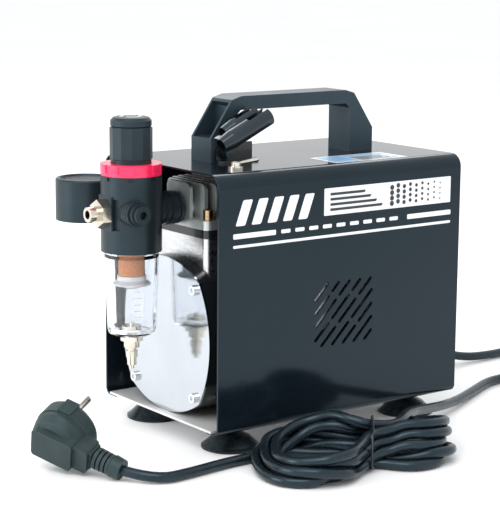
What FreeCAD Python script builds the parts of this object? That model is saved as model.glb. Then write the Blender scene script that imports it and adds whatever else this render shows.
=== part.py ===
"""Cased mini piston air compressor for an airbrush, with filter regulator, gauge and mains lead.

Millimetres. +X runs towards the rear of the case, the printed side faces -Y, +Z is up.
The origin lies on the floor under the middle of the object, without its mains lead.
"""
import FreeCAD, Part
import math
import os
import re
import Sketcher

Vector = FreeCAD.Vector
Rotation = FreeCAD.Rotation

SIZES = {
    # case
    "case_length": 204.2, "case_width": 134.4, "case_height": 168.0, "case_mid": 27.2, "mid_y": -1.9,
    "foot_height": 15.0, "sheet_metal": 1.2, "bend": 9.0, "flange_width": 13.0, "plate_thick": 1.5,
    "vent_width": 51.0, "vent_height": 41.0, "vent_low": 49.0, "vent_pitch": 9.2, "slot_width": 2.4,
    "foot_rim": 19.5, "foot_span_x": 152.0, "foot_span_y": 90.0, "stud_radius": 2.0,
    # handle and airbrush holder
    "handle_half": 69.0, "handle_width": 22.6, "handle_rise": 42.4, "handle_top_half": 47.5,
    "handle_shoulder": 15.5, "opening_half": 48.0, "opening_rise": 33.2, "leg_wall": 1.8,
    "tube_outer": 6.2, "tube_bore": 5.2, "tube_length": 41.0, "tube_gap": 14.0, "tube_stagger": 13.0, "tube_tilt": 25.0,
    "pivot_rise": 5.5,
    # pump
    "shaft_z": 70.0, "shaft_radius": 4.0, "throw": 6.0, "cylinder_x": -31.3, "cylinder_bore": 18.0,
    "cover_front": -70.8, "cover_thick": 1.5, "crank_rear": -10.0, "crank_chamber": 37.0,
    "shield_radius": 72.7, "shield_half": 51.7, "deck_z": 112.0, "head_half": 28.5, "head_wide": 32.0,
    "valve_z": 136.4, "valve_thick": 5.6, "head_flange": 6.0, "fin_top": 170.8, "fin_radius": 30.5,
    "fin_thick": 2.4, "fin_pitch": 6.1, "disc_radius": 24.0, "rod_thick": 8.0, "rod_length": 49.0,
    # motor
    "stator_front": 6.0, "stator_length": 44.0, "stator_half": 42.0, "rotor_radius": 24.0,
    "winding_overhang": 12.0, "bracket_x": 66.0, "bracket_thick": 8.0, "fan_radius": 38.0,
    # filter regulator
    "regulator_x": -96.3, "port_z": 154.5, "body_radius": 19.8, "body_low": 128.6, "body_high": 178.0,
    "ring_high": 185.6, "knob_low": 188.4, "knob_high": 215.4, "knob_radius": 13.7,
    "bowl_low": 73.0, "bowl_radius": 17.8, "bowl_end_radius": 15.9, "bowl_wall": 2.0, "drain_low": 50.0,
    "nozzle_tip": -129.3, "nozzle_radius": 4.86,
    # gauge
    "gauge_x": -99.8, "gauge_y": 49.1, "gauge_radius": 20.0, "gauge_low": 142.7, "gauge_high": 170.5,
    # mains lead
    "lead_radius": 3.3, "lead_exit_y": 36.0, "lead_exit_z": 28.0,
}

# middle line of the lead from the gland, over the floor and round its loop, to the hank
LEAD_ROUTE = [
    (153.3, 36.0, 28.0), (176.0, 36.0, 28.0), (201.0, 35.0, 15.0), (230.0, 31.5, 4.8),
    (260.0, 28.0, 3.5), (293.0, 33.0, 3.4), (325.0, 20.0, 3.5), (341.0, -9.0, 3.4),
    (334.0, -41.0, 3.5), (306.0, -60.0, 3.4), (272.0, -54.0, 3.5), (240.0, -33.0, 3.4),
    (204.0, -29.0, 3.5), (172.0, -45.0, 3.7), (140.0, -62.0, 5.0), (111.0, -76.0, 8.5),
    (85.0, -88.5, 13.5), (63.0, -99.5, 18.0), (45.6, -113.1, 22.0),
]

# middle line of the lead from the hank to the strain relief of the plug
TAIL_ROUTE = [
    (-46.0, -85.0, 3.4), (-78.0, -84.0, 3.4), (-108.0, -88.5, 3.5), (-135.6, -89.5, 3.6),
    (-146.0, -68.4, 6.2),
]

doc = FreeCAD.newDocument("AirbrushCompressor")
sheet = doc.addObject("Spreadsheet::Sheet", "Sizes")
nodes = []


def fill_sheet():
    """Write every driving dimension to the spreadsheet under its alias."""
    for row, (alias, value) in enumerate(SIZES.items(), start=1):
        sheet.set("A%d" % row, alias)
        sheet.set("B%d" % row, str(value))
        sheet.setAlias("B%d" % row, alias)
    doc.recompute()


def cells(text):
    """Turn the aliases in an expression into references to the spreadsheet."""
    return re.sub(r"[a-z_]+", lambda m: "Sizes." + m.group(0) if m.group(0) in SIZES else m.group(0), text)


def bind(obj, **values):
    """Bind properties of an object to expressions over the spreadsheet."""
    for name, text in values.items():
        obj.setExpression(name, cells(str(text)))
    return obj


def place(obj, x, y, z, rotation=None):
    """Put an object at a bound position, turned by a fixed rotation."""
    obj.Placement = FreeCAD.Placement(Vector(0, 0, 0), rotation or Rotation())
    for name, text in (("x", x), ("y", y), ("z", z)):
        obj.setExpression("Placement.Base." + name, cells(str(text)))
    return obj


ALONG = {"Z": Rotation(), "X": Rotation(Vector(0, 1, 0), 90), "Y": Rotation(Vector(1, 0, 0), -90)}


def box(name, length, width, height, x, y, z, rotation=None):
    """A block with its lowest corner at x, y, z."""
    obj = bind(doc.addObject("Part::Box", name), Length=length, Width=width, Height=height)
    return place(obj, x, y, z, rotation)


def centred_box(name, length, width, height, x, y, z):
    """A block with the middle of its underside at x, y, z."""
    return box(name, length, width, height, "%s - (%s)/2" % (x, length), "%s - (%s)/2" % (y, width), z)


def rod(name, radius, length, x, y, z, along="Z"):
    """A round bar that starts at x, y, z and runs along an axis."""
    obj = bind(doc.addObject("Part::Cylinder", name), Radius=radius, Height=length)
    return place(obj, x, y, z, ALONG[along])


def cone(name, radius_start, radius_end, length, x, y, z, along="Z"):
    """A round taper that starts at x, y, z and runs along an axis."""
    obj = doc.addObject("Part::Cone", name)
    bind(obj, Radius1=radius_start, Radius2=radius_end, Height=length)
    return place(obj, x, y, z, ALONG[along])


def fuse(name, *shapes):
    obj = doc.addObject("Part::MultiFuse", name)
    obj.Shapes = list(shapes)
    return obj


def common(name, *shapes):
    obj = doc.addObject("Part::MultiCommon", name)
    obj.Shapes = list(shapes)
    return obj


def group(name, *shapes):
    obj = doc.addObject("Part::Compound", name)
    obj.Links = list(shapes)
    return obj


def cut(name, base, *tools):
    obj = doc.addObject("Part::Cut", name)
    obj.Base = base
    obj.Tool = tools[0] if len(tools) == 1 else group(name + "_tools", *tools)
    return obj


def mirror(name, source, normal):
    """A mirror image over the lengthwise or the crosswise middle plane of the case."""
    obj = doc.addObject("Part::Mirroring", name)
    obj.Source = source
    obj.Normal = normal
    obj.Base = Vector(SIZES["case_mid"], SIZES["mid_y"], 0)
    return obj


def four(name, source):
    """A part at the four corners of a rectangle about the middle of the case."""
    pair = group(name + "_pair", source, mirror(name + "_far", source, Vector(0, 1, 0)))
    return group(name, pair, mirror(name + "_rear", pair, Vector(1, 0, 0)))


def node(obj, label):
    """Declare the finished shape of one sub-part."""
    obj.Label = label
    nodes.append(obj)
    return obj


def plane(body, role):
    return [item for item in body.Origin.OriginFeatures if item.Role == role][0]


def outline_sketch(body, role, points):
    """A closed outline whose corners are bound to the spreadsheet."""
    sketch = body.newObject("Sketcher::SketchObject", body.Name + "_outline")
    sketch.AttachmentSupport = [(plane(body, role), "")]
    sketch.MapMode = "FlatFace"
    count = len(points)
    ring = [Vector(math.cos(2*math.pi*i/count), math.sin(2*math.pi*i/count), 0) for i in range(count)]
    for i in range(count):
        sketch.addGeometry(Part.LineSegment(ring[i], ring[(i + 1) % count]))
    for i in range(count):
        sketch.addConstraint(Sketcher.Constraint("Coincident", i, 2, (i + 1) % count, 1))
    for i, corner in enumerate(points):
        for kind, text in zip(("DistanceX", "DistanceY"), corner):
            index = sketch.addConstraint(Sketcher.Constraint(kind, -1, 1, i, 1, 1.0))
            sketch.setExpression("Constraints[%d]" % index, cells(str(text)))
    return sketch


def turned(name, points, x, y, z, rotation=None):
    """A body turned about its own Z axis from an outline of (radius, height) corners."""
    body = doc.addObject("PartDesign::Body", name)
    sketch = outline_sketch(body, "XZ_Plane", points)
    turn = body.newObject("PartDesign::Revolution", name + "_turn")
    turn.Profile = sketch
    turn.ReferenceAxis = (sketch, ["V_Axis"])
    turn.Angle = 360
    return place(body, x, y, z, rotation)


def padded(name, role, points, length, x, y, z, midplane=True):
    """A body padded from an outline on one of its own planes."""
    body = doc.addObject("PartDesign::Body", name)
    sketch = outline_sketch(body, role, points)
    pad = body.newObject("PartDesign::Pad", name + "_pad")
    pad.Profile = sketch
    pad.Midplane = midplane
    bind(pad, Length=length)
    return place(body, x, y, z)


def edges_where(shape, direction, test):
    """Names of the straight edges along a direction whose midpoint passes a test."""
    found = []
    for number, edge in enumerate(shape.Edges, start=1):
        if len(edge.Vertexes) < 2 or edge.Curve.TypeId != "Part::GeomLine":
            continue
        if abs(edge.Curve.Direction.dot(direction)) > 0.999 and test(edge.CenterOfMass):
            found.append("Edge%d" % number)
    return found


def round_edges(body, name, radius, direction, test):
    """Round chosen edges of a body's last feature."""
    doc.recompute()
    base = body.Tip
    rounding = body.newObject("PartDesign::Fillet", name)
    rounding.Base = (base, edges_where(base.Shape, direction, test))
    bind(rounding, Radius=radius)
    return rounding


# ---------------------------------------------------------------- case

def vent_slots():
    """End points of the slanted slots, about the middle of the case, on its side wall."""
    half = SIZES["vent_width"]/2
    low = SIZES["vent_low"]
    high = low + SIZES["vent_height"]
    pitch = SIZES["vent_pitch"]
    splits = [-half, -half/3, half/3, half]
    bridge = 1.8
    slots = []
    first = math.floor((low - half)/pitch)
    last = math.ceil((high + half)/pitch)
    for line in range(first, last):
        offset = line*pitch + low % pitch
        stagger = 3.0 if line % 2 else -3.0
        for left, right in zip(splits, splits[1:]):
            start = max(left + (stagger if left > -half else 0) + bridge, low - offset)
            end = min(right + (stagger if right < half else 0) - bridge, high - offset)
            if end - start > 3.0:
                slots.append((start, start + offset, end, end + offset))
    return slots


def add_slot(sketch, start, end, width):
    """A slot with round ends, drawn between two points."""
    way = (end - start).normalize()
    side = Vector(-way.y, way.x, 0)*(width/2)
    sketch.addGeometry(Part.LineSegment(start + side, end + side))
    sketch.addGeometry(Part.Arc(end + side, end + way*(width/2), end - side))
    sketch.addGeometry(Part.LineSegment(end - side, start - side))
    sketch.addGeometry(Part.Arc(start - side, start - way*(width/2), start + side))


def housing_shell():
    """Folded sheet: two sides, a top and two flanges turned in under the case."""
    half, inner = "case_width/2", "case_width/2 - sheet_metal"
    lip = "case_width/2 - flange_width"
    points = [
        ("-(%s)" % lip, "0"), ("-(%s)" % half, "0"), ("-(%s)" % half, "case_height"),
        (half, "case_height"), (half, "0"), (lip, "0"), (lip, "sheet_metal"), (inner, "sheet_metal"),
        (inner, "case_height - sheet_metal"), ("-(%s)" % inner, "case_height - sheet_metal"),
        ("-(%s)" % inner, "sheet_metal"), ("-(%s)" % lip, "sheet_metal"),
    ]
    body = padded("housing", "YZ_Plane", points, "case_length", "case_mid", "mid_y", "foot_height")
    along = Vector(1, 0, 0)
    wide = SIZES["case_width"]/2
    tall = SIZES["case_height"]
    thick = SIZES["sheet_metal"]

    def at(y, z):
        return lambda p: abs(abs(p.y) - y) < 0.1 and abs(p.z - z) < 0.1

    round_edges(body, "top_bends", "bend", along, at(wide, tall))
    round_edges(body, "top_bends_inside", "bend - sheet_metal", along, at(wide - thick, tall - thick))
    round_edges(body, "low_bends", "bend - 4", along, at(wide, 0))
    round_edges(body, "low_bends_inside", "bend - 4 - sheet_metal", along, at(wide - thick, thick))

    sketch = body.newObject("Sketcher::SketchObject", "vent_sketch")
    sketch.AttachmentSupport = [(plane(body, "XZ_Plane"), "")]
    sketch.MapMode = "FlatFace"
    for x0, z0, x1, z1 in vent_slots():
        add_slot(sketch, Vector(x0, z0, 0), Vector(x1, z1, 0), SIZES["slot_width"])
    doc.recompute()
    before = body.Tip.Shape.Volume
    vents = body.newObject("PartDesign::Pocket", "vents")
    vents.Profile = sketch
    vents.Midplane = True
    bind(vents, Length="case_width + 4")
    doc.recompute()
    if vents.Shape.Volume > before - 100:
        raise RuntimeError("the vent slots cut nothing")
    top = "foot_height + case_height - 5"
    holes = [rod("handle_hole_front", "2.8", "10", "case_mid - handle_half + 10", "mid_y", top),
             rod("handle_hole_rear", "2.8", "10", "case_mid + handle_half - 10", "mid_y", top),
             rod("switch_hole", "3.1", "10", "case_mid - 74", "mid_y - 46", top)]
    node(cut("housing_cut", body, *holes), "housing_shell")


def base_parts():
    """Plate across the bottom flanges, its feet, and the sheet that closes the rear."""
    floor = "foot_height + sheet_metal"
    plate = centred_box("plate", "case_length - 2", "case_width - 13", "plate_thick", "case_mid - 2", "mid_y", floor)
    stud_holes = four("stud_holes", rod("stud_hole", "stud_radius + 0.15", "6", "case_mid - foot_span_x/2",
                                        "mid_y - foot_span_y/2", "foot_height"))
    node(cut("plate_cut", plate, stud_holes), "base_plate")

    foot = turned("foot", [("0", "foot_height + sheet_metal"), ("6.5", "foot_height + sheet_metal"),
                           ("6.5", "foot_height - 4.5"), ("12.5", "foot_height - 7.5"), ("foot_rim - 2", "2.6"),
                           ("foot_rim", "1.2"), ("foot_rim", "0"), ("foot_rim - 1.6", "0"),
                           ("12", "3.6"), ("0", "5.5")],
                  "case_mid - foot_span_x/2", "mid_y - foot_span_y/2", "0")
    socket = rod("foot_socket", "stud_radius", "foot_height", "case_mid - foot_span_x/2",
                 "mid_y - foot_span_y/2", "9")
    node(four("feet", cut("foot_cut", foot, socket)), "suction_feet")

    above = "foot_height + sheet_metal + plate_thick"
    spot = ("case_mid - foot_span_x/2", "mid_y - foot_span_y/2")
    stud = fuse("stud", rod("stud_shank", "stud_radius", above + " + 5 - 9", spot[0], spot[1], "9"),
                rod("stud_nut", "3.6", "3.2", spot[0], spot[1], above))
    node(four("studs", stud), "foot_studs")

    wall = centred_box("rear_wall", "1.2", "case_width - 2*sheet_metal - 0.6", "case_height - 5.4",
                       "case_mid + case_length/2 - 1.0", "mid_y", above + " + 0.1")
    doc.recompute()
    rounded = doc.addObject("Part::Fillet", "rear_rounded")
    rounded.Base = wall
    corners = edges_where(wall.Shape, Vector(1, 0, 0), lambda p: True)
    rounded.Edges = [(int(name[4:]), SIZES["bend"], SIZES["bend"]) for name in corners]
    slots = []
    for row in range(6):
        slots.append(centred_box("rear_slot_%d" % row, "6", "62", "3.2", "case_mid + case_length/2 - 1", "mid_y",
                                 "foot_height + 66 + %d" % (row*9)))
    gland_hole = rod("gland_hole", "6.1", "8", "case_mid + case_length/2 - 5", "lead_exit_y", "lead_exit_z", "X")
    node(cut("rear_cut", rounded, gland_hole, *slots), "rear_panel")


def handle_parts():
    """Moulded carrying handle with a hollow front leg and a hollow rear leg."""
    outer = [("-handle_half", "0"), ("-handle_half", "handle_shoulder"),
             ("-handle_half + 17", "handle_rise - 2.2"), ("-handle_top_half + 3", "handle_rise"),
             ("handle_top_half - 3", "handle_rise"), ("handle_half - 17", "handle_rise - 2.2"),
             ("handle_half", "handle_shoulder"), ("handle_half", "0"), ("opening_half", "0"),
             ("opening_half", "opening_rise - 3"), ("opening_half - 3", "opening_rise"),
             ("-opening_half + 3", "opening_rise"), ("-opening_half", "opening_rise - 3"),
             ("-opening_half", "0")]
    case_top = "foot_height + case_height"
    bow = padded("bow", "XZ_Plane", outer, "handle_width", "case_mid", "mid_y", case_top)
    round_edges(bow, "bow_rounding", "1.2", Vector(0, 1, 0),
                lambda p: p.z > SIZES["handle_rise"] - 12 or p.z > SIZES["opening_rise"] - 4)

    recess = [("-handle_half - 3", "handle_shoulder"), ("-opening_half - 2.5", "handle_shoulder"),
              ("-opening_half - 2.5", "handle_rise - 7"), ("-handle_half + 13", "handle_rise - 1")]
    front = padded("front_recess", "XZ_Plane", recess, "handle_width - 2*leg_wall", "case_mid", "mid_y", case_top)
    rear = mirror("rear_recess", front, Vector(1, 0, 0))
    holes = [rod("bow_hole_front", "2.3", "13", "case_mid - handle_half + 10", "mid_y", case_top + " - 1"),
             rod("bow_hole_rear", "2.3", "13", "case_mid + handle_half - 10", "mid_y", case_top + " - 1")]
    bracket_hole = rod("bow_bracket_hole", "1.7", "8", "case_mid - handle_half + 10",
                       "mid_y - handle_width/2 - 1", case_top + " + pivot_rise", "Y")
    node(cut("bow_cut", bow, front, rear, bracket_hole, *holes), "handle")

    screws = []
    for name, x in (("front", "case_mid - handle_half + 10"), ("rear", "case_mid + handle_half - 10")):
        head = rod("handle_screw_head_" + name, "4.2", "3", x, "mid_y", case_top + " - sheet_metal - 3")
        shank = rod("handle_screw_shank_" + name, "2.2", "sheet_metal + 10.5", x, "mid_y",
                    case_top + " - sheet_metal")
        screws.append(fuse("handle_screw_" + name, head, shank))
    node(group("handle_screw_pair", *screws), "handle_screws")

    label = centred_box("label", "62", "29", "0.2", "case_mid + 30", "mid_y - 43.5", case_top)
    node(label, "top_label")


def switch_parts():
    """Toggle switch in the case top: body inside, nut outside, lever lying to the rear."""
    case_top = "foot_height + case_height"
    x, y = "case_mid - 74", "mid_y - 46"
    bush = fuse("switch_whole",
                centred_box("switch_block", "13", "8", "11", x, y, case_top + " - sheet_metal - 11"),
                rod("switch_thread", "2.95", "6.2", x, y, case_top + " - sheet_metal - 0.5"),
                rod("switch_nut", "4.6", "1.9", x, y, case_top))
    well = cone("switch_well", "1.6", "2.5", "4", x, y, case_top + " + 1")
    slot = centred_box("switch_slot", "8", "2.6", "4", x + " + 3", y, case_top + " + 2.1")
    node(cut("switch_cut", bush, well, slot), "switch_body")
    lever = turned("switch_lever_turned", [
        ("0", "-1.1"), ("0.7", "-0.9"), ("1.1", "-0.2"), ("1.0", "1.2"), ("1.5", "16.4"), ("1.3", "17.7"),
        ("0.7", "18.4"), ("0", "18.5")], x, y, case_top + " + 3.3", Rotation(Vector(0, 1, 0), 84))
    node(lever, "switch_lever")


def tube_pair(name, radius, start, length):
    """Two parallel slanted bars beside the front leg of the handle, tapered at their low ends."""
    lean = Rotation(Vector(0, 1, 0), 90 - SIZES["tube_tilt"])
    way = lean.multVec(Vector(0, 0, 1))
    made = []
    for number, (side, late) in enumerate((("mid_y - 18", "tube_stagger"), ("mid_y - 18 - tube_gap", "0"))):
        tip = bind(doc.addObject("Part::Cone", "%s_tip_%d" % (name, number)),
                   Radius1=radius + " - 1.3", Radius2=radius, Height="9 - (%s)" % start)
        bar = bind(doc.addObject("Part::Cylinder", "%s_%d" % (name, number)), Radius=radius,
                   Height="%s - 9 + (%s) - %s" % (length, start, late))
        for obj, along in ((tip, "%s + %s" % (start, late)), (bar, "9 + %s" % late)):
            place(obj, "case_mid - 75.4 + (%s)*%.6f" % (along, way.x), side,
                  "foot_height + case_height + 13.4 + (%s)*%.6f" % (along, way.z), lean)
            made.append(obj)
    return made


def holder_parts():
    """Bracket at the foot of the handle, with two slotted tubes on a pivot screw."""
    case_top = "foot_height + case_height"
    pivot_x, pivot_z = "case_mid - handle_half + 10", case_top + " + pivot_rise"
    near_face = "mid_y - handle_width/2"
    plate = fuse("bracket_plate",
                 box("bracket_blade", "22", "2", "12.3", pivot_x, near_face + " - 2.1", case_top + " + 0.05"),
                 box("bracket_root", "7", "2", "5.5", pivot_x + " - 7", near_face + " - 2.1", case_top + " + 0.05"),
                 rod("bracket_round", "6.8", "2", pivot_x, near_face + " - 2.1", pivot_z, "Y"))
    foot = box("bracket_foot", "29", "7", "1.5", pivot_x + " - 7", near_face + " - 9.1", case_top + " + 0.05")
    low = box("bracket_trim", "60", "12", "4", pivot_x + " - 30", near_face + " - 11", case_top + " - 3.95")
    pivot_hole = rod("bracket_pivot_hole", "1.75", "8", pivot_x, near_face + " - 5", pivot_z, "Y")
    node(cut("bracket_cut", fuse("bracket_whole", plate, foot), pivot_hole, low), "holder_bracket")

    tubes = tube_pair("tube", "tube_outer", "0", "tube_length")
    web = box("tube_web", "20", "tube_gap + 4", "3.4", "case_mid - 68.5", "mid_y - 20 - tube_gap",
              case_top + " + 13.5", Rotation(Vector(0, 1, 0), -SIZES["tube_tilt"]))
    lug = rod("tube_lug", "3.8", "3.2", pivot_x, near_face + " - 5.4", pivot_z, "Y")
    neck = box("tube_neck", "9", "3.2", "10", "case_mid - 62.3", near_face + " - 5.4", case_top + " + 6.5")
    solid = fuse("holder_solid", web, lug, neck, *tubes)
    bores = tube_pair("tube_bore_tool", "tube_bore", "-2", "tube_length + 4")
    lean = Rotation(Vector(0, 1, 0), -SIZES["tube_tilt"])
    slots = []
    for number, side in enumerate(("mid_y - 18", "mid_y - 18 - tube_gap")):
        slot = box("tube_slot_%d" % number, "19", "5.6", "12", "case_mid - 75.4 + 22.5", side + " - 2.8",
                   case_top + " + 13.4 + 10.5", lean)
        slots.append(slot)
    hole = rod("lug_hole", "1.72", "9", pivot_x, near_face + " - 8", pivot_z, "Y")
    node(cut("holder_cut", solid, hole, *(bores + slots)), "airbrush_holder")

    screw = fuse("holder_screw_whole",
                 rod("holder_screw_shank", "1.65", "12.5", pivot_x, near_face + " - 5.5", pivot_z, "Y"),
                 rod("holder_screw_head", "3.2", "2.2", pivot_x, near_face + " - 7.7", pivot_z, "Y"))
    node(screw, "holder_screw")


# ---------------------------------------------------------------- pump

def shield(name, x, length):
    """A bulged four-sided outline about the shaft, padded along X."""
    offset_y = "shield_radius - shield_half"
    offset_z = offset_y + " - 0.3"
    spots = (("mid_y - (%s)" % offset_y, "shaft_z"), ("mid_y + %s" % offset_y, "shaft_z"),
             ("mid_y", "shaft_z - (%s)" % offset_z), ("mid_y", "shaft_z + %s" % offset_z))
    bars = [rod("%s_%d" % (name, i), "shield_radius", length, x, y, z, "X") for i, (y, z) in enumerate(spots)]
    return common(name, *bars)


def rounded_block(name, length, width, height, x, y, z, radius):
    """A block about a vertical line, with its upright edges rounded."""
    block = centred_box(name + "_block", length, width, height, x, y, z)
    doc.recompute()
    result = doc.addObject("Part::Fillet", name)
    result.Base = block
    edges = edges_where(block.Shape, Vector(0, 0, 1), lambda p: True)
    result.Edges = [(int(edge[4:]), radius, radius) for edge in edges]
    return result


def around(name, source, count, x, y, z, axis, first=0.0):
    """Copies of one shape, drawn about the origin, spaced evenly round an axis."""
    copies = []
    for i in range(count):
        copy = group("%s_%d" % (name, i), source)
        copies.append(place(copy, x, y, z, Rotation(axis, first + 360.0*i/count)))
    return group(name, *copies)


def crankcase_parts():
    front = "cover_front + cover_thick"
    depth = "crank_rear - cover_front - cover_thick"
    outline = shield("crank_outline", front, depth)
    chamber = rod("crank_room", "crank_chamber", depth + " - 10", front, "mid_y", "shaft_z", "X")
    deck = box("crank_deck", "80", "140", "30", "cylinder_x - head_half - 0.2", "mid_y - 70", "deck_z")
    seat = rod("crank_seat", "11.02", "8", "crank_rear - 10", "mid_y", "shaft_z", "X")
    passage = rod("crank_passage", "4.6", "20", "crank_rear - 15", "mid_y", "shaft_z", "X")
    mouth = rod("crank_mouth", "cylinder_bore + 0.2", "20", "cylinder_x", "mid_y", "deck_z - 12")
    cover_holes = [rod("cover_hole_%d" % i, "2.0", "12", front + " - 1", y, z, "X")
                   for i, (y, z) in enumerate(COVER_SPOTS)]
    head_holes = four_of_head("crank_head_hole", "2.5", "20", "deck_z - 12")
    bolt_holes = bolt_pattern("crank_bolt_hole", "2.6", "14", "crank_rear - 10")
    node(cut("crank_cut", outline, chamber, deck, seat, passage, mouth, head_holes, bolt_holes, *cover_holes),
         "crankcase")

    cover = shield("cover_outline", "cover_front", "cover_thick")
    holes = [rod("cover_clear_%d" % i, "2.1", "6", "cover_front - 2", y, z, "X")
             for i, (y, z) in enumerate(COVER_SPOTS)]
    node(cut("cover_cut", cover, *holes), "crankcase_cover")

    screws = []
    for i, (y, z) in enumerate(COVER_SPOTS):
        head = rod("cover_head_%d" % i, "3.3", "2.4", "cover_front - 2.4", y, z, "X")
        shank = rod("cover_shank_%d" % i, "1.9", "10", "cover_front", y, z, "X")
        socket = doc.addObject("Part::Prism", "cover_socket_%d" % i)
        bind(socket, Polygon="6", Circumradius="1.5", Height="1.6")
        place(socket, "cover_front - 2.5", y, z, ALONG["X"])
        screws.append(cut("cover_screw_%d" % i, fuse("cover_screw_solid_%d" % i, head, shank), socket))
    node(group("cover_screw_set", *screws), "cover_screws")


COVER_SPOTS = (("mid_y - 35", "shaft_z + 35"), ("mid_y + 35", "shaft_z + 35"),
               ("mid_y - 35", "shaft_z - 36.5"), ("mid_y + 35", "shaft_z - 36.5"))


def four_of_head(name, radius, length, z):
    """Upright bars at the four corners of the cylinder head."""
    bars = []
    for i, (sx, sy) in enumerate(((-1, -1), (1, -1), (-1, 1), (1, 1))):
        bars.append(rod("%s_%d" % (name, i), radius, length, "cylinder_x + %d*(head_half - 6)" % sx,
                        "mid_y + %d*(head_wide - 6)" % sy, z))
    return group(name, *bars)


def bolt_pattern(name, radius, length, x):
    """Lengthwise bars at the four corners of the motor."""
    bars = []
    for i, (sy, sz) in enumerate(((-1, -1), (1, -1), (-1, 1), (1, 1))):
        bars.append(rod("%s_%d" % (name, i), radius, length, x, "mid_y + %d*36" % sy,
                        "shaft_z + %d*36" % sz, "X"))
    return group(name, *bars)


def crank_train():
    """Counterweighted disc on the shaft, with the rod and its piston at the bottom of the stroke."""
    disc_x = "cylinder_x + rod_thick/2 + 1"
    weight = common("crank_weight", rod("weight_round", "disc_radius + 5", "5.3", disc_x, "mid_y", "shaft_z", "X"),
                    box("weight_half", "5.3", "70", "35", disc_x, "mid_y - 35", "shaft_z + 3"))
    hub = rod("crank_hub", "14", "5.3", disc_x, "mid_y", "shaft_z", "X")
    bore = rod("crank_bore", "shaft_radius", "14", "cylinder_x", "mid_y", "shaft_z", "X")
    node(cut("crank_disc_cut", fuse("crank_disc_whole", weight, hub), bore), "crank_disc")

    pin_z = "shaft_z - throw"
    rod_x = "cylinder_x - rod_thick/2"
    big_end = rod("big_end", "13", "rod_thick", rod_x, "mid_y", pin_z, "X")
    shank = box("rod_shank", "rod_thick", "12", "rod_length - 9", rod_x, "mid_y - 6", pin_z + " + 9")
    table = rod("piston_table", "16.5", "4", "cylinder_x", "mid_y", pin_z + " + rod_length")
    eye = rod("rod_eye", "8", "12", rod_x + " - 2", "mid_y", pin_z, "X")
    node(cut("rod_cut", fuse("rod_whole", big_end, shank, table), eye), "connecting_rod")

    ring = rod("bearing_ring", "8", "7", "cylinder_x - 3.5", "mid_y", pin_z, "X")
    node(cut("bearing_cut", ring, rod("bearing_hole", "4", "12", "cylinder_x - 6", "mid_y", pin_z, "X")),
         "big_end_bearing")
    pin = rod("pin_shank", "4", "8.6", "cylinder_x - 4", "mid_y", pin_z, "X")
    node(fuse("pin_whole", pin, rod("pin_head", "5.5", "1.6", "cylinder_x - 5.6", "mid_y", pin_z, "X")),
         "crank_pin")
    cup_z = "shaft_z - throw + rod_length + 4"
    node(turned("cup", [("0", "0"), ("16.5", "0"), ("cylinder_bore - 0.07", "2.2"),
                        ("cylinder_bore - 0.07", "5"), ("16.4", "5"), ("15.6", "3.4"), ("6", "3.4"),
                        ("5", "4.6"), ("0", "4.6")], "cylinder_x", "mid_y", cup_z), "piston_cup")


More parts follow.
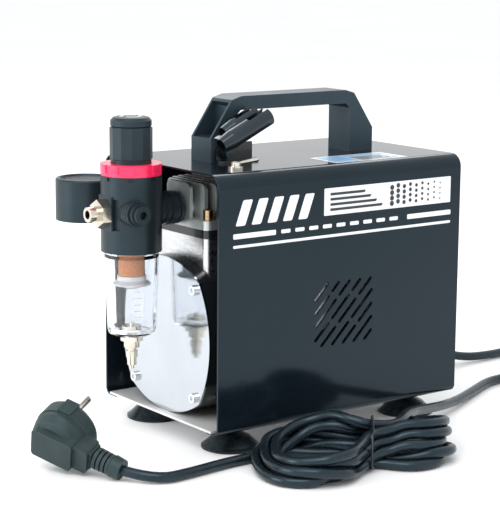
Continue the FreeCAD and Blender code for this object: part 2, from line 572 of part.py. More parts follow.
def cylinder_parts():
    wide = ("2*head_half", "2*head_wide")
    block = rounded_block("cylinder_round", wide[0], wide[1], "valve_z - deck_z", "cylinder_x", "mid_y",
                          "deck_z", 4)
    bore = rod("cylinder_room", "cylinder_bore", "40", "cylinder_x", "mid_y", "deck_z - 5")
    node(cut("cylinder_cut", block, bore, four_of_head("cylinder_hole", "2.5", "40", "deck_z - 5")), "cylinder")

    plate = rounded_block("valve_round", wide[0], wide[1], "valve_thick", "cylinder_x", "mid_y", "valve_z", 5)
    ports = [rod("port_in", "3", "20", "cylinder_x + 8", "mid_y", "valve_z - 5"),
             rod("port_out", "3", "20", "cylinder_x - 8", "mid_y", "valve_z - 5")]
    node(cut("valve_cut", plate, four_of_head("valve_hole", "2.5", "20", "valve_z - 5"), *ports), "valve_plate")

    low = "valve_z + valve_thick"
    flange = rounded_block("head_round", wide[0], wide[1], "head_flange", "cylinder_x", "mid_y", low, 5)
    fins = []
    for i in range(10):
        offset = SIZES["fin_pitch"]*(i - 4.5)
        place_x = "cylinder_x + fin_pitch*%.1f" % (i - 4.5)
        fin = centred_box("fin_%d" % i, "fin_thick", "2*sqrt(fin_radius*fin_radius - %.4f)" % (offset*offset),
                          "fin_top - valve_z - valve_thick - head_flange + 0.5", place_x, "mid_y",
                          low + " + head_flange - 0.5")
        doc.recompute()
        fin_round = doc.addObject("Part::Fillet", "fin_round_%d" % i)
        fin_round.Base = fin
        top_edges = edges_where(fin.Shape, Vector(1, 0, 0), lambda p: p.z > 160)
        fin_round.Edges = [(int(edge[4:]), 4.0, 4.0) for edge in top_edges]
        fins.append(fin_round)
    bosses = [rod("head_boss_front", "9", "head_half", "cylinder_x - head_half", "mid_y", "port_z - 0.5", "X"),
              rod("head_boss_rear", "7.5", "head_half", "cylinder_x", "mid_y", "port_z - 0.5", "X")]
    rooms = [rod("head_bore_front", "3.5", "head_half - 7", "cylinder_x - head_half - 1", "mid_y",
                 "port_z - 0.5", "X"),
             rod("head_bore_rear", "3.5", "head_half - 7", "cylinder_x + 8", "mid_y", "port_z - 0.5", "X"),
             centred_box("head_room_out", "13", "26", "4", "cylinder_x - 9", "mid_y", low),
             centred_box("head_room_in", "13", "26", "4", "cylinder_x + 9", "mid_y", low),
             rod("head_drop_out", "2.5", "9", "cylinder_x - 11", "mid_y", low + " + 3"),
             rod("head_drop_in", "2.5", "9", "cylinder_x + 11", "mid_y", low + " + 3")]
    head = fuse("head_whole", flange, *(fins + bosses))
    node(cut("head_cut", head, four_of_head("head_hole", "2.5", "12", low + " - 2"), *rooms), "cylinder_head")

    top = low + " + head_flange"
    screws = []
    for i, (sx, sy) in enumerate(((-1, -1), (1, -1), (-1, 1), (1, 1))):
        x = "cylinder_x + %d*(head_half - 6)" % sx
        y = "mid_y + %d*(head_wide - 6)" % sy
        whole = fuse("head_screw_whole_%d" % i, rod("head_screw_top_%d" % i, "3.7", "6.6", x, y, top),
                     rod("head_screw_shank_%d" % i, "2.4", "45", x, y, top + " - 45"))
        socket = doc.addObject("Part::Prism", "head_socket_%d" % i)
        bind(socket, Polygon="6", Circumradius="2.1", Height="4")
        place(socket, x, y, top + " + 3.4")
        screws.append(cut("head_screw_%d" % i, whole, socket))
    node(group("head_screw_set", *screws), "head_screws")

    node(turned("filter_turned", [("0", "0"), ("5", "0"), ("5", "3"), ("10", "3"), ("10", "6"), ("9", "6"),
                                  ("9", "7.2"), ("10", "7.2"), ("10", "9.4"), ("9", "9.4"), ("9", "10.6"),
                                  ("10", "10.6"), ("10", "14"), ("8.5", "15.5"), ("0", "15.5")],
                "cylinder_x + head_half + 0.2", "mid_y", "port_z - 0.5", ALONG["X"]), "intake_filter")
    node(turned("fitting_turned", [("4", "0"), ("9.4", "0"), ("9.4", "2"), ("10.4", "2"), ("10.4", "4.6"),
                                   ("9.6", "4.6"), ("9.6", "6"), ("11.2", "6"), ("11.2", "11"), ("9.8", "11"),
                                   ("9.8", "12.4"), ("10.8", "12.4"), ("10.8", "14.6"), ("8.5", "14.6"),
                                   ("8.5", "16.4"), ("4", "16.4")],
                "regulator_x + 19.95", "mid_y", "port_z - 0.5", ALONG["X"]), "outlet_fitting")


# ---------------------------------------------------------------- motor

def motor_parts():
    stator = rounded_x_block("stator_round", "stator_length", "stator_front", 9)
    bore = rod("stator_bore", "rotor_radius + 0.5", "stator_length + 4", "stator_front - 2", "mid_y",
               "shaft_z", "X")
    node(cut("stator_cut", stator, bore, bolt_pattern("stator_hole", "2.6", "stator_length + 4",
                                                      "stator_front - 2")), "motor_stator")

    ring = [("26", "0"), ("38", "0"), ("38", "winding_overhang - 5"), ("33", "winding_overhang"),
            ("26", "winding_overhang")]
    rear = turned("winding_rear", ring, "stator_front + stator_length", "mid_y", "shaft_z", ALONG["X"])
    front_ring = [(radius, "-(%s)" % height) for radius, height in reversed(ring)]
    front = turned("winding_front", front_ring, "stator_front", "mid_y", "shaft_z", ALONG["X"])
    node(group("winding_pair", front, rear), "motor_windings")

    square = rounded_x_block("bracket_round", "bracket_thick", "bracket_x", 9)
    opening = rod("bracket_opening", "34", "20", "bracket_x - 4", "mid_y", "shaft_z", "X")
    arms = [centred_box("bracket_arm_y", "bracket_thick", "80", "11", "bracket_x + bracket_thick/2", "mid_y",
                        "shaft_z - 5.5"),
            centred_box("bracket_arm_z", "bracket_thick", "11", "80", "bracket_x + bracket_thick/2", "mid_y",
                        "shaft_z - 40"),
            rod("bracket_hub", "15", "bracket_thick", "bracket_x", "mid_y", "shaft_z", "X")]
    frame = fuse("bracket_frame", cut("bracket_ring", square, opening), *arms)
    seat = rod("bracket_seat", "11.02", "7", "bracket_x", "mid_y", "shaft_z", "X")
    passage = rod("bracket_passage", "4.6", "20", "bracket_x - 4", "mid_y", "shaft_z", "X")
    node(cut("bracket_frame_cut", frame, seat, passage, bolt_pattern("bracket_hole", "2.6", "20",
                                                                     "bracket_x - 4")), "motor_end_bracket")

    tie = fuse("bolt_shanks", bolt_pattern("bolt_shank", "2.4", "bracket_x + bracket_thick + 17", "-17"),
               bolt_pattern("bolt_nut", "4.4", "3.6", "bracket_x + bracket_thick"),
               bolt_pattern("bolt_sleeve_front", "4.4", "stator_front - crank_rear", "crank_rear"),
               bolt_pattern("bolt_sleeve_rear", "4.4", "bracket_x - stator_front - stator_length",
                            "stator_front + stator_length"))
    node(tie, "motor_bolts")

    bearings = []
    for name, x in (("front", "crank_rear - 9.2"), ("rear", "bracket_x")):
        race = rod("race_" + name, "11", "7", x, "mid_y", "shaft_z", "X")
        hole = rod("race_hole_" + name, "4.05", "9", x + " - 1", "mid_y", "shaft_z", "X")
        bearings.append(cut("race_cut_" + name, race, hole))
    node(group("bearing_pair", *bearings), "motor_bearings")

    disc_x = "cylinder_x + rod_thick/2 + 1"
    node(rod("shaft", "shaft_radius", "121", disc_x, "mid_y", "shaft_z", "X"), "motor_shaft")
    rotor = rod("rotor_solid", "rotor_radius", "stator_length + 2", "stator_front - 1", "mid_y", "shaft_z", "X")
    node(cut("rotor_cut", rotor, rod("rotor_bore", "shaft_radius", "stator_length + 8", "stator_front - 3",
                                     "mid_y", "shaft_z", "X")), "motor_rotor")

    blade = box("blade", "14", "1.6", "fan_radius - 8", "-7", "-0.8", "8", Rotation(Vector(0, 0, 1), 24))
    blades = around("blades", blade, 7, "bracket_x + 20", "mid_y", "shaft_z", Vector(1, 0, 0))
    hub = rod("fan_hub", "10", "13", "bracket_x + 14", "mid_y", "shaft_z", "X")
    fan = fuse("fan_whole", hub, blades)
    node(cut("fan_cut", fan, rod("fan_bore", "shaft_radius", "30", "bracket_x + 10", "mid_y", "shaft_z", "X")),
         "cooling_fan")

    plate_top = "foot_height + sheet_metal + plate_thick"
    cushions = []
    for i, (x, y) in enumerate(((14, -28), (42, -28), (14, 28), (42, 28))):
        cushions.append(rod("cushion_%d" % i, "6.5", "shaft_z - stator_half - foot_height - sheet_metal"
                            " - plate_thick", str(x), "mid_y + %d" % y, plate_top))
    node(group("cushions", *cushions), "pump_mounts")


def rounded_x_block(name, length, x, radius):
    """A square block about the shaft, with its lengthwise edges rounded."""
    block = box(name + "_block", length, "2*stator_half", "2*stator_half", x, "mid_y - stator_half",
                "shaft_z - stator_half")
    doc.recompute()
    result = doc.addObject("Part::Fillet", name)
    result.Base = block
    edges = edges_where(block.Shape, Vector(1, 0, 0), lambda p: True)
    result.Edges = [(int(edge[4:]), radius, radius) for edge in edges]
    return result


# ---------------------------------------------------------------- filter regulator

def hexagon(name, radius, length, x, y, z, along):
    obj = doc.addObject("Part::Prism", name)
    bind(obj, Polygon="6", Circumradius=radius, Height=length)
    return place(obj, x, y, z, ALONG[along])


def regulator_parts():
    x, y = "regulator_x", "mid_y"
    barrel = rod("barrel", "body_radius", "body_high - body_low", x, y, "body_low")
    left = box("left_boss", "19.9", "15", "22", "regulator_x - 19.9", "mid_y - 7.5", "port_z - 11")
    right = rod("right_boss", "10", "19.9", x, y, "port_z - 0.5", "X")
    near = rod("near_boss", "8.3", "11.8", "regulator_x - 9", "mid_y - 19.8", "port_z + 1", "Y")
    far = rod("far_boss", "8", "11.6", "gauge_x", "mid_y + 8", "port_z", "Y")
    rooms = [rod("bowl_mouth", "16.0", "6.4", x, y, "body_low - 0.1"),
             rod("filter_room", "9", "12", x, y, "body_low"),
             rod("top_room", "15.6", "30", x, y, "body_high - 8"),
             rod("left_hole", "6.1", "14", "regulator_x - 21", y, "port_z", "X"),
             rod("right_hole", "4", "14", "regulator_x + 8", y, "port_z - 0.5", "X"),
             rod("near_hole", "5.1", "9", "regulator_x - 9", "mid_y - 20", "port_z + 1", "Y"),
             rod("far_hole", "5.05", "12", "gauge_x", "mid_y + 9", "port_z", "Y")]
    notch = box("notch", "4", "3.4", "2.4", "18.8", "-1.7", "0")
    notches = around("notches", notch, 8, x, y, "body_high - 2.6", Vector(0, 0, 1), 12)
    groove = group("side_groove", box("side_groove_tool", "6", "5", "20", "17.6", "-2.5", "0"))
    place(groove, x, y, "port_z - 10.5", Rotation(Vector(0, 0, 1), 209))
    whole = fuse("regulator_whole", barrel, left, right, near, far)
    node(cut("regulator_cut", whole, notches, groove, *rooms), "regulator_body")

    bonnet = turned("bonnet", [("3.55", "body_high - 8"), ("15.4", "body_high - 8"), ("15.4", "body_high + 0.1"),
                               ("13.1", "body_high + 0.1"), ("13.1", "knob_low - 0.3"),
                               ("3.55", "knob_low - 0.3")], x, y, "0")
    node(bonnet, "regulator_bonnet")
    ring = rod("ring_solid", "body_radius", "ring_high - body_high - 0.2", x, y, "body_high + 0.2")
    tooth = box("ring_tooth", "4", "2.6", "7", "19.2", "-1.3", "0")
    teeth = around("ring_teeth", tooth, 12, x, y, "ring_high - 5.2", Vector(0, 0, 1), 6)
    node(cut("ring_cut", ring, rod("ring_bore", "13.4", "20", x, y, "body_high - 2"), teeth), "lock_ring")

    skirt = doc.addObject("Part::Prism", "knob_skirt")
    bind(skirt, Polygon="12", Circumradius="knob_radius + 0.1", Height="knob_high - knob_low - 7")
    place(skirt, x, y, "knob_low")
    cap = turned("knob_cap", [("0", "knob_low + 15"), ("knob_radius - 0.6", "knob_low + 15"),
                              ("knob_radius - 0.6", "knob_high - 6.6"), ("knob_radius - 1.3", "knob_high - 6.2"),
                              ("knob_radius - 0.4", "knob_high - 5.7"), ("knob_radius - 0.4", "knob_high - 2.4"),
                              ("knob_radius - 2.2", "knob_high - 0.5"), ("knob_radius - 4", "knob_high"),
                              ("0", "knob_high")], x, y, "0")
    knob_room = rod("knob_room", "3.56", "16.6", x, y, "knob_low - 0.1")
    node(cut("knob_cut", fuse("knob_whole", skirt, cap), knob_room), "regulator_knob")
    node(rod("spindle_bar", "3.5", "knob_low + 16 - body_high + 7.9", x, y, "body_high - 7.9"),
         "regulating_spindle")


def bowl_parts():
    x, y = "regulator_x", "mid_y"
    node(turned("bowl_turned", [
        ("3.2", "bowl_low"), ("bowl_end_radius - 4", "bowl_low"), ("bowl_end_radius - 0.9", "bowl_low + 1.6"),
        ("bowl_end_radius", "bowl_low + 4.5"), ("bowl_radius", "body_low - 3"), ("bowl_radius", "body_low - 0.1"),
        ("15.9", "body_low - 0.1"), ("15.9", "body_low + 6"), ("13.9", "body_low + 6"), ("13.9", "body_low - 2"),
        ("bowl_radius - bowl_wall", "body_low - 4"), ("bowl_end_radius - bowl_wall", "bowl_low + 5.5"),
        ("bowl_end_radius - 4.5", "bowl_low + 2.4"), ("3.2", "bowl_low + 2.4")], x, y, "0"), "bowl")
    filter_solid = rod("filter_solid", "8.6", "body_low + 6 - 112.6", x, y, "112.6")
    core = rod("filter_core", "5.2", "40", x, y, "100")
    node(cut("filter_cut", filter_solid, core), "filter_element")
    node(turned("baffle_turned", [("0", "103.6"), ("4", "103.6"), ("10.5", "106.4"), ("12.4", "106.4"),
                                  ("12.4", "107.6"), ("9.4", "109.4"), ("9.4", "112.5"), ("4.9", "112.5"),
                                  ("4.9", "118"), ("0", "118")], x, y, "0"), "baffle")
    valve = turned("drain_turned", [
        ("1.5", "drain_low + 2.6"), ("3.1", "drain_low + 2.6"), ("3.1", "drain_low + 8"),
        ("3.9", "drain_low + 8"), ("3.9", "drain_low + 12"), ("3.0", "drain_low + 12"),
        ("3.0", "drain_low + 14.5"), ("5.2", "drain_low + 14.5"), ("5.2", "bowl_low - 4"),
        ("7.4", "bowl_low - 4"), ("7.4", "bowl_low - 0.1"), ("3.1", "bowl_low - 0.1"),
        ("3.1", "bowl_low + 2.5"), ("6.4", "bowl_low + 2.5"), ("6.4", "bowl_low + 6"), ("1.5", "bowl_low + 6")],
        x, y, "0")
    node(valve, "drain_valve")
    node(rod("pin_solid", "1.42", "bowl_low + 8 - drain_low", x, y, "drain_low"), "drain_pin")


def port_parts():
    y = "mid_y"
    plug_x, plug_z = "regulator_x - 9", "port_z + 1"
    plug = fuse("port_plug_whole", rod("port_plug_thread", "5.0", "7", plug_x, "mid_y - 19.9", plug_z, "Y"),
                rod("port_plug_flange", "8.1", "2.1", plug_x, "mid_y - 21.95", plug_z, "Y"),
                rod("port_plug_rib", "6.8", "3.4", plug_x, "mid_y - 25.2", plug_z, "Y"),
                rod("port_plug_head", "5.7", "3.2", plug_x, "mid_y - 28.2", plug_z, "Y"))
    socket = hexagon("port_plug_socket", "2.9", "4", plug_x, "mid_y - 28.4", plug_z, "Y")
    node(cut("port_plug_cut", plug, socket), "port_plug")

    nipple = fuse("nipple_whole", rod("nipple_thread", "nozzle_radius", "6.8", "nozzle_tip", y, "port_z", "X"),
                  hexagon("nipple_hex", "9.3", "6.1", "nozzle_tip + 6.8", y, "port_z", "X"),
                  rod("nipple_stem", "6", "9", "nozzle_tip + 12.8", y, "port_z", "X"))
    node(cut("nipple_cut", nipple, rod("nipple_bore", "2.8", "30", "nozzle_tip - 1", y, "port_z", "X")),
         "outlet_nipple")


def gauge_parts():
    x, y = "gauge_x", "gauge_y"
    seam = "gauge_low + 14.4"
    shell = rod("gauge_shell", "gauge_radius", "14.4", x, y, "gauge_low")
    node(cut("gauge_cut", shell, rod("gauge_room", "gauge_radius - 1.9", "20", x, y, "gauge_low + 3")),
         "gauge_case")
    node(turned("bezel_turned", [
        ("gauge_radius - 1.9", seam), ("gauge_radius", seam), ("gauge_radius", "gauge_high - 1"),
        ("gauge_radius - 0.9", "gauge_high"), ("gauge_radius - 2.6", "gauge_high"),
        ("gauge_radius - 3.2", "gauge_high - 1.1"), ("gauge_radius - 1.9", "gauge_high - 1.1")],
        x, y, "0"), "gauge_bezel")
    node(rod("gauge_glass_disc", "gauge_radius - 2.0", "1.6", x, y, "gauge_high - 2.8"), "gauge_glass")
    node(rod("gauge_dial_disc", "gauge_radius - 2.0", "0.6", x, y, seam + " + 3"), "gauge_dial")
    blade = box("needle_blade", "18", "1.2", "0.6", "-4", "-0.6", "0")
    pointer = group("needle_turned", blade, rod("needle_hub", "1.9", "1.2", "0", "0", "0"))
    place(pointer, x, y, seam + " + 5.4", Rotation(Vector(0, 0, 1), 225))
    node(fuse("needle_whole", pointer), "gauge_needle")
    stem = fuse("stem_whole",
                rod("stem_thread", "5.0", "gauge_y - gauge_radius - mid_y - 10.2", x, "mid_y + 10", "port_z", "Y"),
                hexagon("stem_hex", "7.6", "5", x, "mid_y + 19.8", "port_z", "Y"))
    node(cut("stem_cut", stem, rod("stem_bore", "2", "40", x, "mid_y + 5", "port_z", "Y")), "gauge_stem")


# ---------------------------------------------------------------- mains lead

def lead_tube(name, corners, radius):
    """A round lead along straight runs that are joined by tangent arcs."""
    points = [Vector(*corner) for corner in corners]
    edges = []
    reached = points[0]
    for before, here, after in zip(points, points[1:], points[2:]):
        first, second = here - before, after - here
        reach = 0.45*min(first.Length, second.Length)
        into, away = first.normalize(), second.normalize()
        half_turn = into.getAngle(away)/2
        bend = reach/math.tan(half_turn)
        start, end = here - into*reach, here + away*reach
        middle = here + (away - into).normalize()*(bend/math.cos(half_turn) - bend)
        edges.append(Part.LineSegment(reached, start).toShape())
        edges.append(Part.Arc(start, middle, end).toShape())
        reached = end
    edges.append(Part.LineSegment(reached, points[-1]).toShape())
    path = Part.Wire(edges)
    section = Part.Wire([Part.Circle(points[0], points[1] - points[0], radius).toShape()])
    obj = doc.addObject("Part::Feature", name)
    obj.Shape = path.makePipeShell([section], True, True)
    expected = math.pi*radius*radius*path.Length
    if abs(obj.Shape.Volume - expected) > 0.01*expected:
        raise RuntimeError("the lead %s is not swept cleanly" % name)
    return obj


HANK_MIDDLE = Vector(1.5, -124.0, 0)


def lead_parts():
    wall = "case_mid + case_length/2"
    y, z = "lead_exit_y", "lead_exit_z"
    node(turned("gland_turned", [
        ("0", "-6"), ("6", "-6"), ("9", "-5.8"), ("9", "-1.7"), ("5.9", "-1.7"), ("5.9", "-0.35"),
        ("9", "-0.35"), ("9", "3"), ("7.6", "4.2"), ("6.6", "12"), ("5.4", "24"), ("0", "24")],
        wall, y, z, ALONG["X"]), "cord_gland")
    node(lead_tube("lead_run", LEAD_ROUTE, SIZES["lead_radius"]), "cord_lead")
    node(lead_tube("tail_run", TAIL_ROUTE, SIZES["lead_radius"]), "cord_tail")

    def laid_out(points):
        """Places in the hank's own plan, turned to lie along it."""
        turn = Rotation(Vector(0, 0, 1), -36.5)
        spots = [HANK_MIDDLE + turn.multVec(Vector(across, away, 0)) for across, away in points]
        return [("%.1f" % spot.x, "%.1f" % spot.y) for spot in spots]

    def stack(name, role, points, height, low):
        pad = padded(name, "XY_Plane", laid_out(points), height, "0", "0", low, midplane=False)
        round_edges(pad, name + "_rounding", "6", Vector(0, 0, 1), lambda p: True)
        return pad

    loop = stack("hank_loop", "outside", [(8, 13), (-14, 22), (-32, 27), (-52, 22), (-66, 4), (-67, -18), (-61, -42),
                                          (-50, -58), (-38, -64), (-24, -59), (-10, -36), (8, -14)], "23", "0.2")
    eye = stack("hank_eye", "inside", [(-20, 3), (-34, 7), (-44, -4), (-45, -22), (-38, -36), (-28, -34), (-20, -16)],
                "30", "-2")
    fan = stack("hank_fan", "folds", [(2, -13), (26, -20), (46, -20), (58, -10), (60, 14), (55, 34), (40, 45),
                                      (24, 42), (2, 14)], "29", "0.2")
    node(fuse("hank_whole", cut("hank_ring", loop, eye), fan), "cord_hank")


PLUG_CENTRE = ("-168", "-29", "20")
PLUG_PINS = Vector(0.86, 0.36, 0.36)
PLUG_LEAD = Vector(0.45, -0.84, -0.30)


def plug_parts():
    """Angled mains plug; drawn with its pins along +Z and its lead along +X, then laid down."""
    turn = Rotation(PLUG_LEAD, Vector(), PLUG_PINS, "ZXY")

    def laid(shape):
        return place(shape, *PLUG_CENTRE, rotation=turn)

    disc = turned("plug_disc", [("0", "-7"), ("13", "-7"), ("16.4", "-5.2"), ("18.6", "1"), ("18.6", "4.4"),
                                ("19.4", "4.4"), ("19.4", "14"), ("18.2", "15.8"), ("0", "15.8")], "0", "0", "0")
    block = rounded_block("plug_block", "29", "20.6", "17", "1.5", "0", "-11", 2.4)
    shoulder = rounded_block("plug_shoulder", "12", "17", "14.4", "20", "0", "-8.6", 2.0)
    neck = rounded_block("plug_neck", "8", "13", "11", "23.4", "0", "-5.6", 1.5)
    ribs = [cone("plug_relief", "5.0", "4.2", "26", "21", "0", "0", "X")]
    for i in range(4):
        ribs.append(rod("plug_rib_%d" % i, "%.2f" % (7.1 - 0.15*i), "1.9", "%.1f" % (28.6 + 3.1*i), "0", "0", "X"))
    ribs.append(cone("plug_collar", "7.2", "6.6", "6.6", "40.4", "0", "0", "X"))
    grips = [box("plug_grip_%d" % i, "9", "3", "11.4", "-4.5", side, "4.4") for i, side in
             enumerate(("17.4", "-20.4"))]
    whole = fuse("plug_whole", disc, block, shoulder, neck, *(ribs + grips))
    earth = rod("plug_earth_hole", "2.5", "14", "6", "0", "7")
    sockets = [rod("plug_pin_hole_%d" % i, "2.4", "13", "0", side, "7.6") for i, side in
               enumerate(("9.5", "-9.5"))]
    node(laid(group("plug_laid", cut("plug_cut", whole, earth, *sockets))), "plug")
    pins = []
    for i, side in enumerate(("9.5", "-9.5")):
        shank = rod("plug_pin_%d" % i, "2.4", "24.3", "0", side, "7.7")
        tip = doc.addObject("Part::Sphere", "plug_pin_tip_%d" % i)
        bind(tip, Radius="2.4")
        place(tip, "0", side, "32.0")
        pins.append(fuse("plug_pin_whole_%d" % i, shank, tip))
    node(laid(group("plug_pins_laid", *pins)), "plug_pins")


# ---------------------------------------------------------------- build and export

def check_and_export():
    """Recompute the whole document, test every shape and write one file per sub-part."""
    doc.recompute()
    faults = []
    for obj in doc.Objects:
        if "Invalid" in obj.State or "Error" in obj.State:
            faults.append("%s: %s" % (obj.Name, obj.State))
    for obj in nodes:
        if obj.Shape.isNull() or not obj.Shape.isValid() or not obj.Shape.Solids:
            faults.append(obj.Label + ": shape is not a valid solid")
    if faults:
        raise RuntimeError("; ".join(faults))
    os.makedirs("parts", exist_ok=True)
    for obj in nodes:
        obj.Shape.exportStep("parts/%s.step" % obj.Label)
        box_ = obj.Shape.BoundBox
        print("%-20s solids %3d  volume %10.1f  x %7.1f %7.1f  y %7.1f %7.1f  z %6.1f %6.1f" % (
            obj.Label, len(obj.Shape.Solids), obj.Shape.Volume, box_.XMin, box_.XMax, box_.YMin,
            box_.YMax, box_.ZMin, box_.ZMax))
    print(len(nodes), "sub-parts")


fill_sheet()
housing_shell()
base_parts()
handle_parts()
switch_parts()
holder_parts()
crankcase_parts()
crank_train()
cylinder_parts()
motor_parts()
regulator_parts()
bowl_parts()
port_parts()
gauge_parts()
lead_parts()
plug_parts()
check_and_export()
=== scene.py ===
"""Looks of the airbrush compressor: materials, printed marks, mains lead, studio and camera. Metres."""
import math

import bmesh
import bpy
import numpy as np
from mathutils import Matrix, Vector


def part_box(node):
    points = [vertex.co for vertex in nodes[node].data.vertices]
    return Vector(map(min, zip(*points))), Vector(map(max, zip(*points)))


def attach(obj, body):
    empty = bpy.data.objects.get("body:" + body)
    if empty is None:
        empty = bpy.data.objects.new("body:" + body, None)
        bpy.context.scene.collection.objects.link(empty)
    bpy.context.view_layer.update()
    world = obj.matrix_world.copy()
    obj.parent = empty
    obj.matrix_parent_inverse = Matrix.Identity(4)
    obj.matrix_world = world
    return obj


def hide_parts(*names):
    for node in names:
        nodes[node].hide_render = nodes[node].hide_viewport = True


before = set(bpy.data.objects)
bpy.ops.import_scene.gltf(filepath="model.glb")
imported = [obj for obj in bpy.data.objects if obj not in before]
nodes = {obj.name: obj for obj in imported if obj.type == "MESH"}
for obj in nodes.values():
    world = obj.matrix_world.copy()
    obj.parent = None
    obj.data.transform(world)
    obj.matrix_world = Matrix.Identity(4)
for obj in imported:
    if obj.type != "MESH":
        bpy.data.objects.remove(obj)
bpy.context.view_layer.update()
MM = 0.001
near_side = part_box("housing_shell")[0].y


# ------------------------------------------------------------------ camera

def add_camera():
    """Long lens from the front left, a little above the object."""
    yaw, pitch, roll = math.radians(36.47), math.radians(10.63), math.radians(0.48)
    forward = Vector((math.sin(yaw)*math.cos(pitch), math.cos(yaw)*math.cos(pitch), -math.sin(pitch)))
    right = Vector((math.cos(yaw), -math.sin(yaw), 0))
    up = right.cross(forward)
    tilted_right = right*math.cos(roll) + up*math.sin(roll)
    tilted_up = up*math.cos(roll) - right*math.sin(roll)
    data = bpy.data.cameras.new("camera")
    data.lens = 119.4
    data.sensor_width = 36
    data.clip_start = 0.05
    camera = bpy.data.objects.new("camera", data)
    bpy.context.scene.collection.objects.link(camera)
    turn = Matrix((tilted_right, tilted_up, -forward)).transposed().to_4x4()
    camera.matrix_world = Matrix.Translation((-0.68888, -0.93272, 0.32896)) @ turn
    bpy.context.scene.camera = camera


# ------------------------------------------------------------------ materials

# the dark finishes reflect the sky a little blue-green
DARK_SHEEN = (0.62, 0.86, 1.0, 1)


class Shader:
    """A node tree that ends in one Principled shader."""

    def __init__(self, name, color, roughness, metallic=0.0, **sockets):
        self.finish = name
        self.material = bpy.data.materials.new("look_" + name)
        self.material.use_nodes = True
        self.tree = self.material.node_tree
        self.shader = self.tree.nodes["Principled BSDF"]
        self.place = self.node("ShaderNodeTexCoord").outputs["Object"]
        self.set("Base Color", (*color, 1))
        self.set("Roughness", roughness)
        self.set("Metallic", metallic)
        self.color = color
        self.roughness = roughness
        self.bumps = None
        for socket, value in sockets.items():
            self.set(socket.replace("_", " "), value)

    def set(self, socket, value):
        self.shader.inputs[socket].default_value = value

    def node(self, kind, **settings):
        made = self.tree.nodes.new(kind)
        for name, value in settings.items():
            setattr(made, name, value)
        return made

    def link(self, start, end):
        self.tree.links.new(start, end)

    def noise(self, scale, detail=3.0, stretch=(1, 1, 1), distortion=0.0):
        """Noise over the object's own space; stretch lengthens it along an axis."""
        mapping = self.node("ShaderNodeMapping")
        mapping.inputs["Scale"].default_value = stretch
        self.link(self.place, mapping.inputs["Vector"])
        texture = self.node("ShaderNodeTexNoise")
        texture.inputs["Scale"].default_value = scale
        texture.inputs["Detail"].default_value = detail
        texture.inputs["Distortion"].default_value = distortion
        self.link(mapping.outputs["Vector"], texture.inputs["Vector"])
        return texture.outputs["Fac"]

    def ramp(self, value, low, high, start=0.3, end=0.7):
        """Map a value to a range of numbers."""
        spread = self.node("ShaderNodeMapRange")
        for name, number in (("From Min", start), ("From Max", end), ("To Min", low), ("To Max", high)):
            spread.inputs[name].default_value = number
        self.link(value, spread.inputs["Value"])
        return spread.outputs["Result"]

    def blend(self, factor, first, second):
        """Mix two colours by a factor socket."""
        mix = self.node("ShaderNodeMix", data_type="RGBA")
        self.link(factor, mix.inputs[0])
        for socket, color in ((mix.inputs[6], first), (mix.inputs[7], second)):
            if isinstance(color, tuple):
                socket.default_value = (*color, 1)
            else:
                self.link(color, socket)
        return mix.outputs[2]

    def mottle(self, scale, other, detail=4.0, stretch=(1, 1, 1)):
        """Let the colour wander softly to another one."""
        factor = self.ramp(self.noise(scale, detail, stretch), 0, 1, 0.35, 0.65)
        self.link(self.blend(factor, tuple(self.color), other), self.shader.inputs["Base Color"])
        return self

    def uneven(self, scale, amount, detail=3.0, stretch=(1, 1, 1)):
        """Let the roughness wander by an amount either way."""
        value = self.noise(scale, detail, stretch)
        self.link(self.ramp(value, self.roughness - amount, self.roughness + amount),
                  self.shader.inputs["Roughness"])
        return self

    def grain(self, scale, distance, strength=0.4, detail=2.0, stretch=(1, 1, 1)):
        """Add fine relief; distance is its depth in metres."""
        bump = self.node("ShaderNodeBump")
        bump.inputs["Strength"].default_value = strength
        bump.inputs["Distance"].default_value = distance
        self.link(self.noise(scale, detail, stretch), bump.inputs["Height"])
        if self.bumps is not None:
            self.link(self.bumps, bump.inputs["Normal"])
        self.bumps = bump.outputs["Normal"]
        self.link(self.bumps, self.shader.inputs["Normal"])
        return self

    def painted_edge_highlights(self, color, radius=0.0006, amount=0.6):
        """Paint a lighter colour along sharp edges: a painted highlight where the edges catch the light."""
        bevel = self.node("ShaderNodeBevel", samples=4)
        bevel.inputs["Radius"].default_value = radius
        geometry = self.node("ShaderNodeNewGeometry")
        dot = self.node("ShaderNodeVectorMath", operation="DOT_PRODUCT")
        self.link(bevel.outputs["Normal"], dot.inputs[0])
        self.link(geometry.outputs["Normal"], dot.inputs[1])
        edge = self.ramp(dot.outputs["Value"], amount, 0.0, 0.86, 0.985)
        socket = self.shader.inputs["Base Color"]
        base = socket.links[0].from_socket if socket.is_linked else tuple(self.color)
        self.link(self.blend(edge, base, color), socket)
        return self


